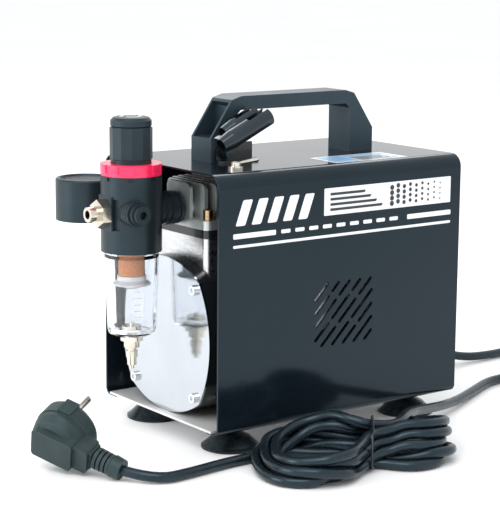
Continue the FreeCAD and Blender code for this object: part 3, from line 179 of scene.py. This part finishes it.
def make_materials():
    """One entry per finish, for the CAD parts and for the pieces that exist only here."""
    made = {}

    def keep(shader):
        made[shader.finish] = shader.material
        return shader

    keep(Shader("black_paint", (0.007, 0.009, 0.011), 0.25, Coat_Weight=0.3, Coat_Roughness=0.06)
         .mottle(9, (0.010, 0.013, 0.016)).uneven(14, 0.03).grain(900, 0.00004, 0.12))
    # the lighter bluish colour along the case's sharp edges and bends is a painted highlight
    keep(Shader("case_paint", (0.0035, 0.0075, 0.0115), 0.13, Specular_IOR_Level=0.37,
                Specular_Tint=DARK_SHEEN)
         .mottle(7, (0.007, 0.011, 0.016)).uneven(11, 0.035).grain(760, 0.00004, 0.10)
         .painted_edge_highlights((0.05, 0.06, 0.075), 0.0005, 0.3))
    # the lighter colour along sharp edges is a painted highlight
    keep(Shader("black_plastic", (0.009, 0.015, 0.018), 0.40, Specular_IOR_Level=0.45,
                Specular_Tint=DARK_SHEEN)
         .mottle(60, (0.013, 0.018, 0.022)).uneven(40, 0.06).grain(2600, 0.00008, 0.35)
         .painted_edge_highlights((0.05, 0.06, 0.066), 0.0005, 0.35))
    # the lighter slate-blue colour along the handle's edges is a painted highlight
    keep(Shader("handle_plastic", (0.014, 0.025, 0.033), 0.36, Specular_Tint=DARK_SHEEN)
         .mottle(45, (0.021, 0.032, 0.043)).uneven(30, 0.07).grain(1900, 0.00012, 0.45)
         .painted_edge_highlights((0.07, 0.088, 0.10), 0.0009, 0.5))
    keep(Shader("gloss_black_plastic", (0.006, 0.009, 0.012), 0.2, Specular_Tint=DARK_SHEEN,
                Coat_Weight=0.3, Coat_Roughness=0.08)
         .mottle(80, (0.010, 0.013, 0.017)).uneven(50, 0.05).grain(1400, 0.00004, 0.2))
    keep(Shader("black_rubber", (0.006, 0.009, 0.011), 0.27, Specular_IOR_Level=0.42,
                Specular_Tint=DARK_SHEEN)
         .mottle(70, (0.010, 0.013, 0.015)).uneven(55, 0.08).grain(1500, 0.00006, 0.3))
    keep(Shader("lead_rubber", (0.004, 0.008, 0.011), 0.28, Specular_IOR_Level=0.5,
                Specular_Tint=DARK_SHEEN)
         .mottle(90, (0.010, 0.015, 0.020)).uneven(70, 0.07).grain(1700, 0.00005, 0.25))
    # the lighter colour along the plug's sharp edges is a painted highlight
    keep(Shader("plug_rubber", (0.018, 0.029, 0.028), 0.5, Specular_IOR_Level=0.35,
                Specular_Tint=DARK_SHEEN)
         .mottle(70, (0.027, 0.040, 0.039)).uneven(60, 0.07).grain(2200, 0.0001, 0.4)
         .painted_edge_highlights((0.085, 0.11, 0.115), 0.0009, 0.5))
    keep(Shader("bright_steel", (0.78, 0.79, 0.80), 0.20, 1.0)
         .mottle(30, (0.68, 0.69, 0.70)).uneven(160, 0.07, 4, (1, 1, 12))
         .grain(900, 0.00002, 0.2, 2, (1, 1, 14)))
    keep(Shader("polished_cover", (0.58, 0.61, 0.645), 0.10, 1.0)
         .mottle(18, (0.51, 0.545, 0.585)).uneven(220, 0.025, 4, (1, 1, 9))
         .grain(520, 0.00001, 0.15, 2, (1, 1, 10)))
    keep(Shader("zinc_steel", (0.80, 0.80, 0.79), 0.42, 0.35)
         .mottle(55, (0.66, 0.67, 0.68), 6).uneven(45, 0.09).grain(600, 0.00003, 0.2))
    keep(Shader("nickel", (0.74, 0.70, 0.62), 0.17, 1.0)
         .mottle(110, (0.62, 0.57, 0.48)).uneven(130, 0.06).grain(1200, 0.00002, 0.2))
    keep(Shader("iron", (0.20, 0.20, 0.21), 0.55, 0.8)
         .mottle(120, (0.28, 0.28, 0.29)).uneven(90, 0.1).grain(900, 0.0001, 0.5))
    keep(Shader("alloy", (0.74, 0.75, 0.76), 0.30, 1.0)
         .mottle(40, (0.63, 0.64, 0.65)).uneven(120, 0.06, 4, (1, 1, 5))
         .grain(700, 0.00001, 0.15, 3, (1, 1, 6)))
    # the bright colour along the fins' and bracket's sharp edges is a painted highlight
    keep(Shader("cast_alloy", (0.46, 0.50, 0.49), 0.36, 0.8)
         .mottle(90, (0.60, 0.64, 0.63)).uneven(120, 0.09).grain(1100, 0.00012, 0.45)
         .painted_edge_highlights((0.72, 0.74, 0.74), 0.0007, 0.8))
    keep(Shader("copper", (0.55, 0.22, 0.09), 0.30, 0.9, Coat_Weight=0.5)
         .mottle(150, (0.38, 0.13, 0.05)).grain(1400, 0.0003, 0.8, 2, (1, 0.05, 0.05)))
    keep(Shader("brass", (0.60, 0.42, 0.24), 0.24, 1.0)
         .mottle(100, (0.45, 0.29, 0.15)).uneven(140, 0.08).grain(900, 0.00003, 0.3))
    keep(Shader("bronze_sinter", (0.80, 0.30, 0.09), 0.55, Subsurface_Weight=0.25, Subsurface_Scale=0.004)
         .mottle(900, (0.60, 0.20, 0.06)).grain(2600, 0.0002, 0.6))
    keep(Shader("pink_plastic", (0.80, 0.012, 0.085), 0.27, Coat_Weight=0.3, Subsurface_Weight=0.08,
                Subsurface_Scale=0.003)
         .mottle(60, (0.88, 0.025, 0.13)).uneven(50, 0.06).grain(1500, 0.00004, 0.2))
    keep(Shader("white_plastic", (0.82, 0.84, 0.85), 0.30, Subsurface_Weight=0.2, Subsurface_Scale=0.004)
         .mottle(70, (0.74, 0.77, 0.79)).uneven(60, 0.07).grain(1400, 0.00004, 0.2))
    keep(Shader("clear_plastic", (0.95, 0.965, 0.985), 0.04, Transmission_Weight=1.0, IOR=1.46)
         .uneven(35, 0.02).grain(55, 0.0002, 0.12, 1))
    keep(Shader("label", (0.72, 0.80, 0.88), 0.26, Coat_Weight=0.5)
         .mottle(30, (0.80, 0.86, 0.92)).uneven(25, 0.05).grain(260, 0.00003, 0.2))
    keep(Shader("gauge_window", (0.95, 0.965, 0.985), 0.04, Alpha=0.12)
         .mottle(25, (0.90, 0.93, 0.97)).uneven(40, 0.02))
    keep(Shader("dial", (0.88, 0.88, 0.86), 0.45)
         .mottle(50, (0.82, 0.82, 0.80)).uneven(40, 0.05).grain(900, 0.00002, 0.2))
    keep(Shader("print_white", (0.84, 0.86, 0.88), 0.38)
         .mottle(65, (0.76, 0.79, 0.81)).uneven(45, 0.06).grain(1300, 0.00002, 0.3))
    keep(Shader("print_dark", (0.020, 0.024, 0.028), 0.35)
         .mottle(60, (0.028, 0.033, 0.038)).uneven(45, 0.06).grain(1300, 0.00002, 0.3))
    keep(Shader("print_blue", (0.20, 0.42, 0.66), 0.30)
         .mottle(60, (0.26, 0.48, 0.72)).uneven(45, 0.05).grain(1300, 0.00002, 0.3))
    keep(Shader("print_red", (0.62, 0.03, 0.03), 0.35)
         .mottle(60, (0.70, 0.05, 0.05)).uneven(45, 0.05).grain(1300, 0.00002, 0.3))
    keep(Shader("print_faint", (0.62, 0.50, 0.56), 0.4)
         .mottle(60, (0.70, 0.60, 0.66)).uneven(45, 0.05).grain(1300, 0.00002, 0.3))
    keep(Shader("studio_floor", (0.95, 0.95, 0.95), 0.6)
         .mottle(2, (0.93, 0.932, 0.935)).uneven(3, 0.05))
    return made


FINISH = {
    "case_paint": ["housing_shell", "rear_panel"],
    "black_paint": ["holder_bracket", "crankcase", "valve_plate", "gauge_needle"],
    "handle_plastic": ["handle"],
    "black_plastic": ["intake_filter", "outlet_fitting", "cooling_fan", "regulator_body", "regulator_bonnet",
                      "regulator_knob", "port_plug", "gauge_case", "gauge_bezel", "cord_gland"],
    "plug_rubber": ["plug"],
    "gloss_black_plastic": ["airbrush_holder", "holder_screw"],
    "black_rubber": ["suction_feet", "pump_mounts"],
    "bright_steel": ["handle_screws", "foot_studs", "cover_screws", "big_end_bearing",
                     "crank_pin", "motor_stator", "motor_bolts", "motor_bearings", "motor_shaft"],
    "polished_cover": ["crankcase_cover"],
    "zinc_steel": ["base_plate"],
    "nickel": ["switch_body", "switch_lever", "outlet_nipple", "plug_pins", "drain_valve", "drain_pin"],
    "iron": ["crank_disc", "motor_rotor"],
    "alloy": ["connecting_rod", "cylinder"],
    "cast_alloy": ["cylinder_head", "motor_end_bracket"],
    "copper": ["motor_windings"],
    "brass": ["head_screws", "regulating_spindle", "gauge_stem"],
    "bronze_sinter": ["filter_element"],
    "pink_plastic": ["lock_ring"],
    "white_plastic": ["piston_cup", "baffle"],
    "clear_plastic": ["bowl"],
    "gauge_window": ["gauge_glass"],
    "label": ["top_label"],
    "dial": ["gauge_dial"],
}


def dress_nodes():
    """Give every CAD part its finish."""
    for finish, names in FINISH.items():
        for name in names:
            part = nodes[name]
            part.data.materials.clear()
            part.data.materials.append(finishes[finish])


# ------------------------------------------------------------------ small mesh tools

def add_mesh(name, build, finish, body="case"):
    """A mesh piece that build() draws, with a finish, on a body."""
    mesh = bpy.data.meshes.new(name)
    work = bmesh.new()
    build(work)
    bmesh.ops.recalc_face_normals(work, faces=work.faces)
    work.to_mesh(mesh)
    work.free()
    mesh.materials.append(finishes[finish])
    piece = bpy.data.objects.new(name, mesh)
    bpy.context.scene.collection.objects.link(piece)
    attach(piece, body)
    return piece


def rounded(points, radius, steps=4):
    """Corners of a flat outline, each cut round by a radius."""
    out = []
    count = len(points)
    for i, here in enumerate(points):
        before = Vector(points[i - 1])
        after = Vector(points[(i + 1) % count])
        corner = Vector(here)
        reach = min(radius, 0.45*(before - corner).length, 0.45*(after - corner).length)
        first = corner + (before - corner).normalized()*reach
        last = corner + (after - corner).normalized()*reach
        for step in range(steps + 1):
            t = step/steps
            out.append(first*(1 - t)**2 + corner*2*t*(1 - t) + last*t**2)
    return out


def slab(work, outline, to_space, thickness):
    """A thin plate over a flat outline; to_space maps (u, v, height) to a point."""
    low = [work.verts.new(to_space(p[0], p[1], 0)) for p in outline]
    high = [work.verts.new(to_space(p[0], p[1], thickness)) for p in outline]
    work.faces.new(low[::-1])
    work.faces.new(high)
    for i in range(len(outline)):
        j = (i + 1) % len(outline)
        work.faces.new((low[i], low[j], high[j], high[i]))


def rectangle(left, low, right, high):
    """Corners of an upright rectangle."""
    return [(left, low), (right, low), (right, high), (left, high)]


# ------------------------------------------------------------------ printed marks

def panel_point(x, z, height):
    """A point on the printed side of the case."""
    return Vector((x*MM, near_side - height, z*MM))


def add_side_print():
    """Slanted bars, a white box with lines and dots, dashes and stripes, printed on the near side."""
    film = 0.00012

    def white(work):
        plates = [rectangle(-63.8, 136.1, 120.5, 137.9), rectangle(-63.8, 142.0, -30.2, 145.3),
                  rectangle(81.0, 142.0, 120.6, 145.3), rectangle(9.0, 150.6, 120.0, 168.5)]
        for plate in plates:
            slab(work, rounded(plate, 0.8), panel_point, film)
        for i in range(5):
            left = -62.0 + 12.4*i
            bar = [(left, 150.2), (left + 7.4, 150.2), (left + 13.4, 166.4), (left + 6.0, 166.4)]
            slab(work, rounded(bar, 1.2), panel_point, film)
        for i in range(9):
            dash = rectangle(-26 + 11.4*i, 142.4, -18.5 + 11.4*i, 144.9)
            slab(work, rounded(dash, 0.9), panel_point, film)

    def dark(work):
        def raised(x, z, height):
            return panel_point(x, z, height + film)

        for i in range(4):
            low = 153.4 + 3.4*i
            line = [(14, low), (58 - 5*i, low), (59 - 5*i, low + 1.7), (14, low + 1.7)]
            slab(work, rounded(line, 0.7), raised, film)
        for column in range(9):
            for row in range(4):
                size = 1.75 - 0.15*column
                x, z = 67 + 5.4*column, 154.0 + 3.6*row + (1.0 if column % 2 else 0.0)
                ring = [(x + size*math.cos(a*math.pi/7), z + size*math.sin(a*math.pi/7)) for a in range(14)]
                slab(work, ring, raised, film)

    add_mesh("side_print", white, "print_white")
    add_mesh("side_print_marks", dark, "print_dark")


def add_top_print():
    """A pale blue block and plain bars on the sticker."""
    low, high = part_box("top_label")
    left, near, top = low.x/MM, low.y/MM, high.z
    film = 0.00008

    def point(x, y, height):
        return Vector(((left + x)*MM, (near + y)*MM, top + height))

    def blocks(work):
        slab(work, rounded(rectangle(3, 3, 22, 26), 1.5), point, film)
        slab(work, rounded(rectangle(25, 20, 58, 25), 1.0), point, film)

    def bars(work):
        for i in range(5):
            bar = rectangle(25, 3 + 3.2*i, 56 - 4*(i % 3), 4.6 + 3.2*i)
            slab(work, rounded(bar, 0.5), point, film)

    add_mesh("label_blocks", blocks, "print_blue")
    add_mesh("label_bars", bars, "print_dark")


def add_gauge_print():
    """Ticks of the scale, and short red ticks inside its top end."""
    low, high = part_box("gauge_dial")
    middle = (low + high)/2
    first_tick, sweep, ticks = 225, 270, 51

    def point(x, y, height):
        return Vector((middle.x + x*MM, middle.y + y*MM, high.z + height))

    def tick(work, angle, inner, outer, half):
        way = Vector((math.cos(angle), math.sin(angle)))
        side = Vector((-way.y, way.x))*half
        corners = [way*inner - side, way*outer - side, way*outer + side, way*inner + side]
        slab(work, corners, point, 0.00005)

    def marks(work):
        for i in range(ticks):
            angle = math.radians(first_tick - sweep/(ticks - 1)*i)
            inner, half = (12.6, 0.28) if i % 5 == 0 else (14.2, 0.14)
            tick(work, angle, inner, 16.2, half)

    def limit(work):
        for i in range(12):
            tick(work, math.radians(first_tick - sweep + 2.2*i + 1), 10.6, 11.8, 0.26)

    add_mesh("dial_marks", marks, "print_dark")
    add_mesh("dial_limit", limit, "print_red")


def add_knob_marks():
    """Arrow marks moulded on the knob's cap."""
    low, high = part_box("regulator_knob")
    middle = (low + high)/2

    def point(x, y, height):
        return Vector((middle.x + x*MM, middle.y + y*MM, high.z + height - 0.00005))

    def marks(work):
        outer = 6.6
        for side in (1, -1):
            ring = [Vector((outer*math.cos(math.radians(a)), outer*math.sin(math.radians(a))))*side
                    for a in range(30, 151, 10)]
            inner = [p*0.82 for p in reversed(ring)]
            slab(work, ring + inner, point, 0.0003)
            tip = ring[-1]*0.91
            way = Vector((-tip.y, tip.x)).normalized()
            out = tip.normalized()
            slab(work, [tip + way*2.6, tip - out*1.7, tip + out*1.7], point, 0.0003)

    add_mesh("knob_marks", marks, "print_white", "knob")


def add_bowl_scale():
    """Pale moulded level lines on the side of the clear bowl that faces front."""
    low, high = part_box("bowl")
    axis = (low + high)/2
    thick, tall = 0.25*MM, 0.5*MM

    def wall(z):
        """Outer radius of the tapered bowl at a height, and a hair more."""
        return (16.0 + 1.9*((z - low.z)/MM - 4.5)/48.1)*MM

    def arc(radius, angles):
        return [(axis.x + radius*math.cos(a), axis.y + radius*math.sin(a)) for a in angles]

    def lines(work):
        for i in range(7):
            z = low.z + 0.014 + 0.0042*i
            spread = 13 if i % 3 == 0 else 8
            angles = [math.radians(a - 110) for a in range(-spread, spread + 1, 3)]
            outline = arc(wall(z), angles) + arc(wall(z) + thick, angles[::-1])
            slab(work, outline, lambda x, y, height, base=z: (x, y, base + height), tall)

    add_mesh("bowl_scale", lines, "print_faint")


# ------------------------------------------------------------------ mains lead

LEAD_RADIUS = 3.3
LEAD_ROUTE = [
    (153.3, 36.0, 28.0), (176.0, 36.0, 28.0), (201.0, 35.0, 15.0), (230.0, 31.5, 4.8),
    (260.0, 28.0, 3.5), (293.0, 33.0, 3.4), (325.0, 20.0, 3.5), (341.0, -9.0, 3.4),
    (334.0, -41.0, 3.5), (306.0, -60.0, 3.4), (272.0, -54.0, 3.5), (240.0, -33.0, 3.4),
    (204.0, -29.0, 3.5), (172.0, -45.0, 3.7), (140.0, -62.0, 5.0), (111.0, -76.0, 8.5),
    (85.0, -88.5, 13.5), (63.0, -99.5, 18.0), (45.6, -113.1, 22.0),
]
TAIL_ROUTE = [
    (-46.0, -85.0, 3.4), (-78.0, -84.0, 3.4), (-108.0, -88.5, 3.5), (-135.6, -89.5, 3.6),
    (-146.0, -68.4, 6.2),
]
HANK_MIDDLE = (1.5, -124.0)
HANK_TURN = math.radians(-36.5)
LYING = LEAD_RADIUS + 0.1

# each turn from the bottom one: its places in the tie on the far and the near side (away, height),
# how wide and deep its open loop is, its height at the loop's edge and at its nearest part, and
# the reach, middle and heights of its fold
TURNS = [
    ((0.0, 9.5), (-7.0, LYING), 0.94, 1.00, 5.0, LYING, 26, 4, LYING, LYING),
    ((6.6, 9.6), (-0.5, 3.9), 0.82, 0.88, 6.5, 3.6, 29, 8, 9.0, LYING),
    ((3.4, 15.2), (-7.0, 10.0), 0.90, 0.98, 11.0, 9.5, 26, 10, 15.2, 9.6),
    ((3.4, 21.0), (-3.4, 15.5), 0.74, 0.86, 12.5, 10.0, 27, 15, 21.5, 10.5),
    ((0.0, 26.5), (-3.4, 21.5), 0.80, 0.93, 17.5, 15.5, 27, 20, 27.5, 16.5),
]
# outline of the open loop, across the view and away from it
LOOP = [(-11, 3), (-25, 13), (-41, 22), (-56, 18), (-65, 2), (-66, -18), (-62, -38), (-54, -55),
        (-41, -63), (-28, -57), (-19, -42), (-12, -25)]


def hank_point(across, away, height):
    """A point of the hank, given across the view and away from it about the tie."""
    x = HANK_MIDDLE[0] + across*math.cos(HANK_TURN) - away*math.sin(HANK_TURN)
    y = HANK_MIDDLE[1] + across*math.sin(HANK_TURN) + away*math.cos(HANK_TURN)
    return (x, y, height)


def loop_height(part, far, edge, near, waist):
    """Height along an open loop, from its far side over its edge to its near side."""
    edge_starts, edge_ends, near_side_starts = 0.42, 0.5, 0.8
    if part < edge_starts:
        return far + (edge - far)*(part/edge_starts)**1.5
    if part < edge_ends:
        return edge
    if part < near_side_starts:
        return edge + (near - edge)*(part - edge_ends)/0.3
    return near + (waist - near)*(part - near_side_starts)/0.25


def hank_points():
    """Turns of the lead from the top of the hank to its bottom, each a loop and a fold."""
    points = [hank_point(18, 14, 25.0)]
    returns = [(6.5, LYING)] + [turn[0] for turn in TURNS[:-1]]
    for turn, back in reversed(list(zip(TURNS, returns))):
        (far, far_height), (near, near_height), wide, deep, edge, low, reach, middle, front, rear = turn
        points.append(hank_point(4, far, far_height))
        for number, (across, away) in enumerate(LOOP):
            height = loop_height(number/(len(LOOP) - 1), far_height, edge, low, near_height)
            if number not in (0, len(LOOP) - 1):
                across = across*wide
                away = away*deep if away < 0 else away
            points.append(hank_point(across, away, height))
        # out along the near side, round the fold at the right, and back to the next turn down
        points += [
            hank_point(0, near, near_height), hank_point(12, near - 3, (near_height + front)/2),
            hank_point(reach - 4, middle - 21, front), hank_point(reach + 9, middle - 20.5, front),
            hank_point(reach + 21.5, middle - 9, front*0.8 + rear*0.2),
            hank_point(reach + 21.5, middle + 9, (front + rear)/2),
            hank_point(reach + 8.3, middle + 21, rear), hank_point(reach - 8, middle + 16, rear),
            hank_point(15, back[0] + 8, (rear + back[1])/2),
        ]
    points += [hank_point(4, 6.5, LYING), hank_point(-12, 7, LYING), hank_point(-32, 8, LYING),
               hank_point(-50, 8, LYING)]      # under the open loops and out towards the plug
    return points


def spline_weights(count, steps):
    """Rows of weights that turn control points into points of their smooth line."""
    rows = np.zeros(((count - 2)*steps, count))
    for span in range(count - 2):
        for step in range(steps):
            t = step/steps
            start = (1.0 if span == 0 else 0.5)*(1 - t)**2
            end = (1.0 if span == count - 3 else 0.5)*t**2
            rows[span*steps + step, span:span + 3] = start, 1 - start - end, end
    return rows


def settle(points, first, last, rounds=480):
    """Relax the control points of the hank, those from first to last, as a real lead would lie.

    Each round lets the line down a little, pushes turns that touch apart, opens bends tighter than
    the wanted radius, smooths, puts the lengths between points back, and keeps it above the floor.
    """
    control = np.array(points, float)
    wanted = control.copy()
    weights = spline_weights(len(control), 4)
    inverse = np.linalg.pinv(weights)
    free = np.zeros((len(control), 1))
    free[first:last] = 1
    rest = np.linalg.norm(np.diff(control, axis=0), axis=1)
    apart, span, wanted_bend, own_reach = 2*LEAD_RADIUS + 0.1, 13.5, 30.0, 24
    for _ in range(rounds):
        line = weights @ control
        run = np.concatenate([[0], np.cumsum(np.linalg.norm(np.diff(line, axis=0), axis=1))])
        push = np.zeros_like(line)
        push[:, 2] -= 0.05

        gap = line[:, None] - line[None]
        distance = np.linalg.norm(gap, axis=2)
        i, j = np.nonzero((distance < apart) & (np.abs(run[:, None] - run[None]) > own_reach))
        close = np.maximum(distance[i, j], 0.3)
        np.add.at(push, i, gap[i, j]*(0.3*(apart - distance[i, j])/close)[:, None])

        before, after = (np.stack([np.interp(run + way, run, line[:, k]) for k in range(3)], 1)
                         for way in (-span, span))
        sag = (before + after)/2 - line
        size = np.maximum(np.linalg.norm(sag, axis=1), 1e-6)
        excess = np.clip(size - span**2/2/wanted_bend, 0, 3)
        excess[(run < span) | (run > run[-1] - span)] = 0
        step = sag*(0.85*excess/size)[:, None]
        push += step
        for way in (-span, span):
            ends = np.searchsorted(run, run + way).clip(0, len(line) - 1)
            np.add.at(push, ends, -step/2)

        control += (inverse @ push)*free*0.9
        control[1:-1] += (control[:-2] + control[2:] - 2*control[1:-1])*0.05*free[1:-1]
        for _ in range(4):
            edge = np.diff(control, axis=0)
            size = np.maximum(np.linalg.norm(edge, axis=1), 0.1)
            fix = edge*((size - rest)/size*0.42)[:, None]
            control[:-1] += fix*free[:-1]
            control[1:] -= fix*free[1:]
        control += (wanted - control)*0.012*free
        control[:, 2] = np.maximum(control[:, 2], LYING)
    return [tuple(point) for point in control]


def add_spline(name, points, radius, finish, closed=False):
    """A round tube on a smooth line through space."""
    data = bpy.data.curves.new(name, "CURVE")
    data.dimensions = "3D"
    data.bevel_depth = radius
    data.bevel_resolution = 6
    data.resolution_u = 6
    data.use_fill_caps = True
    spline = data.splines.new("NURBS")
    spline.points.add(len(points) - 1)
    for control, point in zip(spline.points, points):
        control.co = (point[0]*MM, point[1]*MM, point[2]*MM, 1)
    spline.order_u = 3
    if closed:
        spline.use_cyclic_u = True
    else:
        spline.use_endpoint_u = True
    data.materials.append(finishes[finish])
    piece = bpy.data.objects.new(name, data)
    bpy.context.scene.collection.objects.link(piece)
    return piece


def add_lead():
    """The whole mains lead as one line, from the gland to the plug."""
    hank = hank_points()
    route = settle(LEAD_ROUTE + hank + TAIL_ROUTE, len(LEAD_ROUTE), len(LEAD_ROUTE) + len(hank))
    lead = add_spline("mains_lead", route, LEAD_RADIUS*MM, "lead_rubber")
    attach(lead, "case")
    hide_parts("cord_lead", "cord_hank", "cord_tail")
    tie, tie_ends = add_tie(route)


def add_tie(control):
    """Wire tie drawn tight round all the turns at the waist, its ends twisted together on top."""
    waist, wire, steps = 4, 0.8, 36
    line = spline_weights(len(control), 6) @ np.array(control)
    away = (-math.sin(HANK_TURN), math.cos(HANK_TURN))
    across = (line[:, :2] - HANK_MIDDLE) @ (away[1], -away[0])
    inside = (np.abs(across - waist) < 5) & (line[:, 1] < -80)
    strands = np.stack([(line[inside, :2] - HANK_MIDDLE) @ away, line[inside, 2]], 1)
    ring = []
    for i in range(steps):
        way = np.array([math.cos(2*math.pi*i/steps), math.sin(2*math.pi*i/steps)])
        outermost = strands[np.argmax(strands @ way)]
        side, height = outermost + way*(LEAD_RADIUS + 0.75)
        ring.append(hank_point(waist + 1.5*way[0], side, max(height, 0.9)))
    top = max(ring, key=lambda point: point[2])
    twist = [(top[0] + 0.8*math.cos(2.2*i) - 0.5*i, top[1] + 0.8*math.sin(2.2*i) - 0.9*i,
              top[2] + 0.9 - 0.5*i) for i in range(9)]
    tie = add_spline("hank_tie", ring, wire*MM, "gloss_black_plastic", closed=True)
    ends = add_spline("hank_tie_ends", twist, 0.7*MM, "gloss_black_plastic")
    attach(tie, "case")
    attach(ends, "case")
    return [tie, ends]


# ------------------------------------------------------------------ studio

def add_light(name, place, aim, size, power, color=(1, 1, 1)):
    """A soft rectangular lamp at a place, turned to its aim."""
    data = bpy.data.lights.new(name, "AREA")
    data.shape = "RECTANGLE"
    data.size, data.size_y = size
    data.energy = power
    data.color = color
    light = bpy.data.objects.new(name, data)
    bpy.context.scene.collection.objects.link(light)
    way = Vector(aim) - Vector(place)
    light.matrix_world = Matrix.Translation(place) @ way.to_track_quat("-Z", "Y").to_matrix().to_4x4()


def add_studio():
    """Pale floor under a bright even sky, with a few large soft lights."""
    mesh = bpy.data.meshes.new("studio_floor")
    work = bmesh.new()
    bmesh.ops.create_grid(work, x_segments=4, y_segments=4, size=14)
    work.to_mesh(mesh)
    work.free()
    mesh.materials.append(finishes["studio_floor"])
    floor = bpy.data.objects.new("studio_floor", mesh)
    floor.location.z = -0.0002
    bpy.context.scene.collection.objects.link(floor)

    world = bpy.data.worlds.new("sky")
    world.use_nodes = True
    sky = world.node_tree.nodes["Background"]
    sky.inputs["Color"].default_value = (0.98, 0.99, 1.0, 1)
    sky.inputs["Strength"].default_value = 1.06
    bpy.context.scene.world = world
    add_light("key", (-0.9, -0.7, 1.5), (0, 0, 0.08), (1.2, 1.2), 16)
    add_light("front_fill", (-1.3, 0.35, 0.45), (-0.05, 0, 0.12), (0.7, 0.7), 7)
    add_light("rear_top", (0.7, 1.3, 1.3), (0, 0, 0.15), (1.6, 0.8), 10)
    bpy.context.scene.view_settings.view_transform = "Standard"


finishes = make_materials()
add_camera()
dress_nodes()
add_side_print()
add_top_print()
add_gauge_print()
add_knob_marks()
add_bowl_scale()
add_lead()
add_studio()
